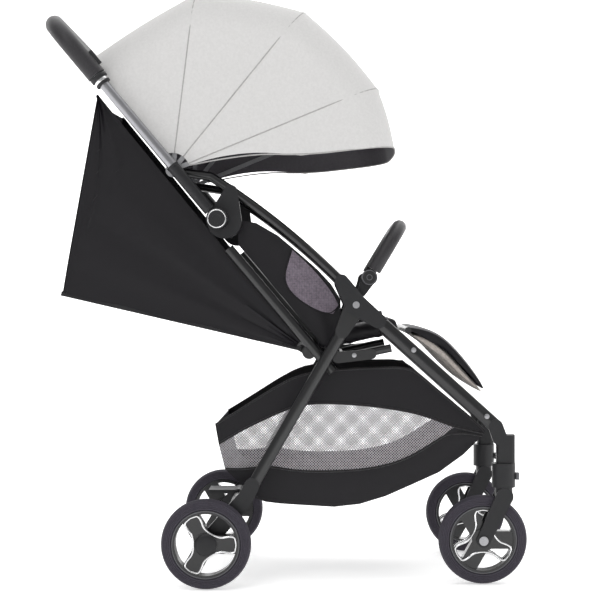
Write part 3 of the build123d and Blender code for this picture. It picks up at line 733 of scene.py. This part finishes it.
class STROLLER_OT_basket(bpy.types.Operator):
    """Under-seat basket: cloth band, see-through mesh sides and a cloth base, with bound edges"""

    bl_idname = "stroller.basket"
    bl_label = "Basket"

    def execute(self, context):
        cloth = seat_cloth()
        net = open_mesh("grey_diagonal_net", colours().mesh, 3.4, 0.80)
        stations = [basket_station(i) for i in range(len(BASKET_TOP))]
        bm = loft(stations)
        bm.verts.ensure_lookup_table()
        size = len(stations[0])
        for end in (0, len(stations) - 1):
            wall = bm.verts[end * size:(end + 1) * size]
            for k in range(size // 2 - 2 if end == 0 else size // 2 - 1):
                ring = (wall[k], wall[k + 1], wall[size - 2 - k], wall[size - 1 - k])
                if k + 1 < size - 2 - k:
                    bmesh.ops.contextual_create(bm, geom=ring)
        piece = finish_piece("basket_shell", bm, (cloth, net), thickness=BASKET_CLOTH_THICKNESS)
        for face in piece.data.polygons:
            x, z = face.center.x / MM, face.center.z / MM
            upper = level_at(BASKET_BAND, x)
            lower = level_at(BASKET_MESH, x)
            on_side = abs(face.normal.y) > 0.6
            face.material_index = int(on_side and lower < z < upper and x < 300)
        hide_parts("basket")
        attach(piece, "frame")
        for label, side in SIDES:
            for name, level, wide in (("rim", BASKET_TOP, 1.0), ("band", BASKET_BAND, 0.999),
                                      ("base", BASKET_MESH, 0.99)):
                points = [(x * MM, side * BASKET_HALF * wide, z * MM) for x, z in level]
                cord = tube_along(f"basket_{name}_binding_{label}", points, 2.0 * MM, webbing())
                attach(cord, "frame")
        return {"FINISHED"}


def level_at(level, x):
    """Height of a basket curve at a place along the stroller."""
    for (xa, za), (xb, zb) in zip(level, level[1:]):
        if xa <= x <= xb:
            return za + (zb - za) * (x - xa) / (xb - xa)
    return level[0][1] if x < level[0][0] else level[-1][1]


# ---- wheels
def lobed_outline(centre, y, phase):
    """Three-lobed line round the spokes."""
    width, tip, waist = 13.8, 51.5, 19.5
    side = ((27, width - 2.4), (37, width), (45, width + 0.4), (50.5, width - 1.5), (tip, width - 7))
    lobe = [(a, -b) for a, b in side] + [(tip + 1.8, 0)] + list(reversed(side))
    points = []
    for k in range(3):
        turn = radians(phase + 120 * k)
        valley = radians(phase + 120 * k - 60)
        points.append((centre[0] + waist * MM * cos(valley), y, centre[1] + waist * MM * sin(valley)))
        for a, b in lobe:
            points.append((centre[0] + (a * cos(turn) - b * sin(turn)) * MM, y,
                           centre[1] + (a * sin(turn) + b * cos(turn)) * MM))
    return points


def spun_ring(name, centre, profile, material, segments=96):
    """Ring turned about a wheel's axle from a closed profile of (radius, y) points."""
    bm = bmesh.new()
    verts = [bm.verts.new((centre.x, centre.y + y, centre.z + r)) for r, y in profile]
    edges = [bm.edges.new((verts[i], verts[(i + 1) % len(verts)])) for i in range(len(verts))]
    bmesh.ops.spin(bm, geom=verts + edges, cent=centre, axis=(0, 1, 0), angle=2 * pi, steps=segments,
                   use_merge=True, use_duplicate=False)
    return finish_piece(name, bm, (material,))


def tyre_profile(outer, inner, half):
    """Tyre section with concentric ribs on its shoulders and a shallow centre groove."""
    rise = []
    ribs = 5
    for i in range(ribs):
        base = inner + 2.4 * MM + i * 2.7 * MM
        out = half - 0.6 * MM - 2.4 * MM * (i / ribs) ** 2
        rise += [(base, out), (base + 1.7 * MM, out), (base + 1.9 * MM, out - 0.9 * MM),
                 (base + 2.6 * MM, out - 0.9 * MM)]
    crown = [(outer - 3.2 * MM, half * 0.62), (outer - 1.0 * MM, half * 0.38),
             (outer - 0.2 * MM, half * 0.16), (outer - 1.0 * MM, half * 0.06)]
    near = [(inner, half - 3 * MM)] + rise + crown
    return near + [(outer - 1.0 * MM, 0.0)] + [(r, -y) for r, y in reversed(near)]


class STROLLER_OT_wheels(bpy.types.Operator):
    """Ribbed tyres, bright lobed trims and hub caps"""

    bl_idname = "stroller.wheels"
    bl_label = "Wheels"

    def execute(self, context):
        rubber, bright, nylon = tyre_rubber(), chrome(), grey_nylon()
        for end, phase in (("rear", 0), ("front", 90)):
            for label, side in SIDES:
                low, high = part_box(f"{end}_{label}_tyre")
                centre = (low + high) / 2
                outer, half = (high.z - low.z) / 2, (high.y - low.y) / 2
                rim_low, rim_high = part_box(f"{end}_{label}_rim")
                inner = (rim_high.z - rim_low.z) / 2
                body = f"{end}_wheel_{label}"
                tyre = spun_ring(f"{end}_tyre_{label}", centre, tyre_profile(outer, inner, half), rubber)
                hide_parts(f"{end}_{label}_tyre")
                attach(tyre, body)
                faces = (-1, 1) if end == "front" else (side,)
                for face in faces:
                    tag = f"{label}_{'out' if face == side else 'in'}"
                    y = centre.y + face * 11.4 * MM
                    line = tube_along(f"{end}_trim_{tag}", lobed_outline((centre.x, centre.z), y, phase),
                                      sizes().trim, bright, cyclic=True)
                    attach(line, body)
                    hole = side_circle(centre.x, centre.y + face * (half - 0.8 * MM), centre.z,
                                       inner - 1.2 * MM, 32)
                    lip = tube_along(f"{end}_lip_{tag}", hole, 0.9 * MM, nylon, cyclic=True)
                    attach(lip, body)
                    dome = [(0.001 * MM, face * (half + 3.4 * MM)), (9 * MM, face * (half + 3.2 * MM)),
                            (16 * MM, face * (half + 2.4 * MM)), (19 * MM, face * (half + 0.8 * MM)),
                            (19.4 * MM, face * (half - 1.5 * MM)), (0.001 * MM, face * (half - 1.5 * MM))]
                    if end == "rear":
                        cap = spun_ring(f"{end}_hub_cap_{tag}", centre, dome, moulded_nylon(), 48)
                        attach(cap, body)
        return {"FINISHED"}


# ---- small trim on the frame and handle
def handle_spot(side, reach, lift=0.0):
    """Place along one side of the handle."""
    x, z = polar(HUB, degrees(HANDLE_ANGLE), reach)
    tilt = HANDLE_ANGLE - pi / 2
    return Vector((x + lift * cos(tilt), side * HANDLE_Y, z + lift * sin(tilt)))


HANDLE_Y = (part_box("handle_tube")[1].y - 9 * MM)


def collar(name, at, along, radius, length, material, bevel=1.2):
    """Round collar with softened edges, centred on a place and lying along a direction."""
    bm = bmesh.new()
    bmesh.ops.create_cone(bm, cap_ends=True, segments=48, radius1=radius, radius2=radius, depth=length)
    rims = [e for e in bm.edges if abs(e.verts[0].co.z - e.verts[1].co.z) < 1e-6]
    bmesh.ops.bevel(bm, geom=rims, offset=bevel * MM, segments=3, affect="EDGES", profile=0.5, material=-1)
    turn = Vector(along).to_track_quat("Z", "Y").to_matrix().to_4x4()
    bmesh.ops.transform(bm, matrix=Matrix.Translation(at) @ turn, verts=bm.verts[:])
    return finish_piece(name, bm, (material,))


class STROLLER_OT_trim(bpy.types.Operator):
    """Handle collars, hub rings and screw heads"""

    bl_idname = "stroller.trim"
    bl_label = "Trim"

    def execute(self, context):
        bright, nylon = chrome(), moulded_nylon()
        along = (cos(HANDLE_ANGLE), 0, sin(HANDLE_ANGLE))
        for label, side in SIDES:
            for name, reach, radius, length, material in (
                    ("dark", 318, 15.5, 8, nylon), ("bright", 311.5, 12.6, 7, bright),
                    ("lower", 306, 13.6, 5, nylon), ("sleeve", 119, 11.4, 4, nylon)):
                ring = collar(f"handle_collar_{name}_{label}", handle_spot(side, reach * MM), along,
                              radius * MM, length * MM, material)
                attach(ring, "handle")
            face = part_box("hub_discs")[1].y * side
            circle = side_circle(HUB[0], face, HUB[1], 15.5 * MM, 24)
            ring = tube_along(f"hub_ring_{label}", circle, 1.1 * MM, bright, cyclic=True)
            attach(ring, "handle")
            for name, (x, z) in (("knee", (352, 295)), ("leg", (224, 411)), ("seat", (120, 402))):
                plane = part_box("front_leg_left")[1].y + 2.2 * MM
                head = collar(f"screw_{name}_{label}", (x * MM, side * plane, z * MM), (0, side, 0),
                              4.2 * MM, 2 * MM, zinc_steel(), 0.6)
                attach(head, "frame")
        return {"FINISHED"}


CALF_TOP = ((212, 455), (245, 450), (276, 438), (302, 414), (333, 376), (353, 344))
CALF_MIDDLE = ((214, 441), (244, 438), (268, 427), (292, 403), (324, 366), (349, 336))
CALF_UNDER = ((236, 428), (248, 418), (262, 404), (284, 380), (316, 350), (346, 334))


def bolster(name, upper, lower, half, material):
    """Soft bar across the stroller between an upper and a lower side-view line, thinner at its ends."""
    bm = bmesh.new()
    loops = []
    for t in (-1, -0.985, -0.95, -0.8, -0.4, 0, 0.4, 0.8, 0.95, 0.985, 1):
        thin = (1 - abs(t) ** 14) * 0.75 + 0.25
        high, low = [], []
        for a, b in zip(upper, lower):
            middle = mix(a, b, 0.5)
            high.append(mix(middle, a, thin))
            low.append(mix(middle, b, thin))
        ring = [bm.verts.new((x * MM, t * half, z * MM)) for x, z in high + low[::-1]]
        loops.append([bm.edges.new((ring[i], ring[(i + 1) % len(ring)])) for i in range(len(ring))])
    for near, far in zip(loops, loops[1:]):
        bmesh.ops.bridge_loops(bm, edges=near + far)
    for end in (loops[0], loops[-1]):
        bmesh.ops.contextual_create(bm, geom=end)
    return finish_piece(name, bm, (material,), subdivision=2)


class STROLLER_OT_calf(bpy.types.Operator):
    """Calf rest: dark curved pad on top and warm grey cushion underneath"""

    bl_idname = "stroller.calf"
    bl_label = "Calf rest"

    def execute(self, context):
        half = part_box("calf_pad")[1].y
        top = bolster("calf_cushion", CALF_TOP, CALF_MIDDLE, half, seat_cloth())
        under = bolster("calf_underside", CALF_MIDDLE, CALF_UNDER, half - 2 * MM, calf_cloth())
        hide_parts("calf_pad")
        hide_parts("calf_board")
        for piece in (top, under):
            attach(piece, "calf_rest")
        return {"FINISHED"}


BUMPER = pivot_of("bumper_tilt")
BUMPER_ANGLE = 59.0


class STROLLER_OT_bumper(bpy.types.Operator):
    """Bumper bar's leatherette sleeve from one joint to the other, with joint rings"""

    bl_idname = "stroller.bumper"
    bl_label = "Bumper bar"

    def execute(self, context):
        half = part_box("bumper_bar")[1].y - 6 * MM
        reach, corner = 106 * MM, 60 * MM
        profile = [(half, 15 * MM), (half, 28 * MM), (half, reach - corner)]
        profile += [(half - corner + corner * cos(a), reach - corner + corner * sin(a))
                    for a in (pi / 2 * k / 8 for k in range(1, 9))]
        profile += [(half - corner - k * 33 * MM, reach) for k in (1, 2, 3)]
        path = profile + [(-y, r) for y, r in reversed(profile)]
        spots = [polar(BUMPER, BUMPER_ANGLE, reach_along) for _, reach_along in path]
        points = [(x, y, z) for (x, z), (y, _) in zip(spots, path)]
        sleeve = tube_along("bumper_sleeve", points, 13 * MM, grip_foam())
        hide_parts("bumper_pad")
        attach(sleeve, "bumper")
        for label, side in SIDES:
            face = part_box("bumper_bar")[1].y * side
            for name, radius in (("outer", 12.5), ("inner", 4.5)):
                circle = side_circle(BUMPER[0], face, BUMPER[1], radius * MM, 24)
                ring = tube_along(f"bumper_ring_{name}_{label}", circle, 0.8 * MM, grey_nylon(),
                                  cyclic=True)
                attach(ring, "bumper")
        return {"FINISHED"}


class STROLLER_OT_harness(bpy.types.Operator):
    """Webbing harness from the backrest and seat to the buckle"""

    bl_idname = "stroller.harness"
    bl_label = "Harness"

    def execute(self, context):
        cloth = webbing()
        low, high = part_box("buckle")
        middle = (low + high) / 2
        for label, side in SIDES:
            rows = []
            for k in range(13):
                t = k / 12
                x = middle.x - 12 * MM - 92 * MM * t
                z = middle.z - 2 * MM - (x - middle.x) * -0.236 + 7 * MM * sin(pi * t)
                y = side * (14 * MM + 70 * MM * t)
                rows.append([(x - 9 * MM, y - side * 4 * MM, z), (x + 9 * MM, y + side * 4 * MM, z)])
            piece = finish_piece(f"lap_strap_{label}", loft(rows), (cloth,), thickness=STRAP_THICKNESS)
            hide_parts("harness_straps")
            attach(piece, "frame")
            back = []
            for k in range(11):
                x, z = polar(RECLINE, 167, (70 + 23 * k) * MM)
                lift = (27 + 2.0 * sin(k * 0.9)) * MM
                x, z = x + lift * sin(radians(13)), z + lift * cos(radians(13))
                near, far = 54.5 * MM - sizes().strap / 2, 54.5 * MM + sizes().strap / 2
                back.append([(x, side * near, z), (x, side * far, z)])
            strap = finish_piece(f"shoulder_strap_{label}", loft(back), (cloth,), thickness=STRAP_THICKNESS)
            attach(strap, "backrest")
        return {"FINISHED"}


class STROLLER_OT_frame_finish(bpy.types.Operator):
    """Finishes for the rigid parts that stay as they are"""

    bl_idname = "stroller.frame_finish"
    bl_label = "Frame finish"

    def execute(self, context):
        finishes = {"tube_black": powder_coat, "tube_gunmetal": anodised_aluminium,
                    "plastic_black": moulded_nylon, "plastic_grey": grey_nylon, "steel": zinc_steel,
                    "grip_foam": grip_foam, "fabric_black": seat_cloth, "fabric_grey": canopy_cloth,
                    "webbing": webbing, "tyre": tyre_rubber, "rim_black": powder_coat}
        for part in frame["record"]["subparts"]:
            mesh = frame["nodes"][part["node"]].data
            mesh.materials.clear()
            mesh.materials.append(finishes[part["material_slot"]]())
        return {"FINISHED"}


# ---- stage
VIEW = {"distance": 2.80, "x": 77.7 * MM, "height": 502 * MM, "lens": 89.7, "shift_x": -0.05,
        "shift_y": -2 / 600}
LAMPS = (("key", (-1.4, -3.0, 3.0), 30, 1.6), ("fill", (3.2, -2.4, 1.4), 12, 1.2),
         ("top", (0.2, 0.3, 4.2), 95, 5.0))


class STROLLER_OT_stage(bpy.types.Operator):
    """Pale floor, soft studio lights and the camera"""

    bl_idname = "stroller.stage"
    bl_label = "Stage"

    def execute(self, context):
        bm = bmesh.new()
        bmesh.ops.create_grid(bm, x_segments=1, y_segments=1, size=20)
        paper = bpy.data.materials.new("white_paper_sweep")
        paper.use_nodes = True
        surface = paper.node_tree.nodes["Principled BSDF"]
        surface.inputs["Base Color"].default_value = linear("FFFFFF")
        surface.inputs["Roughness"].default_value = 0.9
        surface.inputs["Emission Color"].default_value = linear("FFFFFF")
        surface.inputs["Emission Strength"].default_value = 0.45
        floor = finish_piece("floor", bm, (paper,), smooth=False)
        bm = bmesh.new()
        bmesh.ops.create_grid(bm, x_segments=1, y_segments=1, size=30,
                              matrix=Matrix.Translation((0, 12, 0)) @ Matrix.Rotation(pi / 2, 4, "X"))
        glow = bpy.data.materials.new("lit_backdrop")
        glow.use_nodes = True
        lit = glow.node_tree.nodes["Principled BSDF"]
        lit.inputs["Emission Color"].default_value = linear("FFFFFF")
        lit.inputs["Emission Strength"].default_value = 1.05
        backdrop = finish_piece("backdrop", bm, (glow,), smooth=False)
        world = bpy.data.worlds.new("studio")
        bpy.context.scene.world = world
        world.use_nodes = True
        world.node_tree.nodes["Background"].inputs["Color"].default_value = linear("FFFFFF")
        world.node_tree.nodes["Background"].inputs["Strength"].default_value = 0.42
        for name, place, power, size in LAMPS:
            data = bpy.data.lights.new(name, "AREA")
            data.energy = power
            data.size = size
            lamp = bpy.data.objects.new(name, data)
            lamp.location = place
            lamp.rotation_euler = (Vector((0, 0, 0.5)) - Vector(place)).to_track_quat("-Z", "Y").to_euler()
            bpy.context.collection.objects.link(lamp)
        data = bpy.data.cameras.new("camera")
        data.lens = VIEW["lens"]
        data.sensor_width = 36
        data.shift_x, data.shift_y = VIEW["shift_x"], VIEW["shift_y"]
        camera = bpy.data.objects.new("camera", data)
        camera.location = (VIEW["x"], -VIEW["distance"], VIEW["height"])
        camera.rotation_euler = (pi / 2, 0, 0)
        bpy.context.collection.objects.link(camera)
        bpy.context.scene.camera = camera
        bpy.context.scene.view_settings.view_transform = "Standard"
        return {"FINISHED"}


OPERATORS = (STROLLER_OT_frame_finish, STROLLER_OT_canopy, STROLLER_OT_hood, STROLLER_OT_wings,
             STROLLER_OT_cushions, STROLLER_OT_calf, STROLLER_OT_bumper, STROLLER_OT_basket,
             STROLLER_OT_wheels, STROLLER_OT_trim, STROLLER_OT_harness, STROLLER_OT_stage)


class STROLLER_PT_panel(bpy.types.Panel):
    """Stroller pieces and sizes"""

    bl_idname = "STROLLER_PT_panel"
    bl_label = "Travel stroller"
    bl_space_type = "VIEW_3D"
    bl_region_type = "UI"
    bl_category = "Stroller"

    def draw(self, context):
        for operator in OPERATORS:
            self.layout.operator(operator.bl_idname)
        for settings in (context.scene.stroller_sizes, context.scene.stroller_colours):
            for key in settings.bl_rna.properties.keys():
                if key not in ("rna_type", "name"):
                    self.layout.prop(settings, key)


CLASSES = (StrollerSizes, StrollerColours, *OPERATORS, STROLLER_PT_panel)


def register():
    for cls in CLASSES:
        bpy.utils.register_class(cls)
    bpy.types.Scene.stroller_sizes = bpy.props.PointerProperty(type=StrollerSizes)
    bpy.types.Scene.stroller_colours = bpy.props.PointerProperty(type=StrollerColours)


def unregister():
    del bpy.types.Scene.stroller_colours
    del bpy.types.Scene.stroller_sizes
    for cls in reversed(CLASSES):
        bpy.utils.unregister_class(cls)


def main():
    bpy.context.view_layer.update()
    register()
    for operator in OPERATORS:
        group, name = operator.bl_idname.split(".")
        getattr(getattr(bpy.ops, group), name)()


if __name__ == "__main__":
    main()
